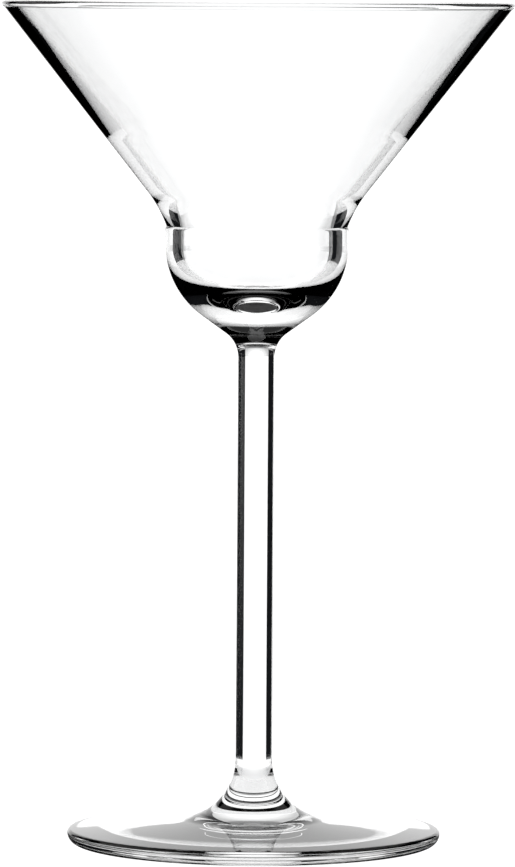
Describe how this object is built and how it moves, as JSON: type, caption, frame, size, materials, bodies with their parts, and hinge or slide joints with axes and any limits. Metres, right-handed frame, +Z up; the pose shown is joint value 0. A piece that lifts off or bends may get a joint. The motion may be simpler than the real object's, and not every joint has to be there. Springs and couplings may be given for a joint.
{
  "type": "martini glass",
  "caption": "Clear stemmed cocktail glass: a wide cone over a small round cup, on a slim solid stem and a flared round foot.",
  "frame": {"origin": "centre of the flat ring that the foot stands on, at table level", "axes": "+Z up along the axis of the stem; X and Y are free, because the glass is round"},
  "size_m": [0.1154, 0.1154, 0.19],
  "materials": {
    "bowl_glass": "clear, blown and fire-polished",
    "stem_glass": "clear, drawn",
    "foot_glass": "clear, pressed and fire-polished"
  },
  "bodies": {
    "root": {"bowl": "bowl_glass", "stem": "stem_glass", "foot": "foot_glass"}
  },
  "joints": []
}
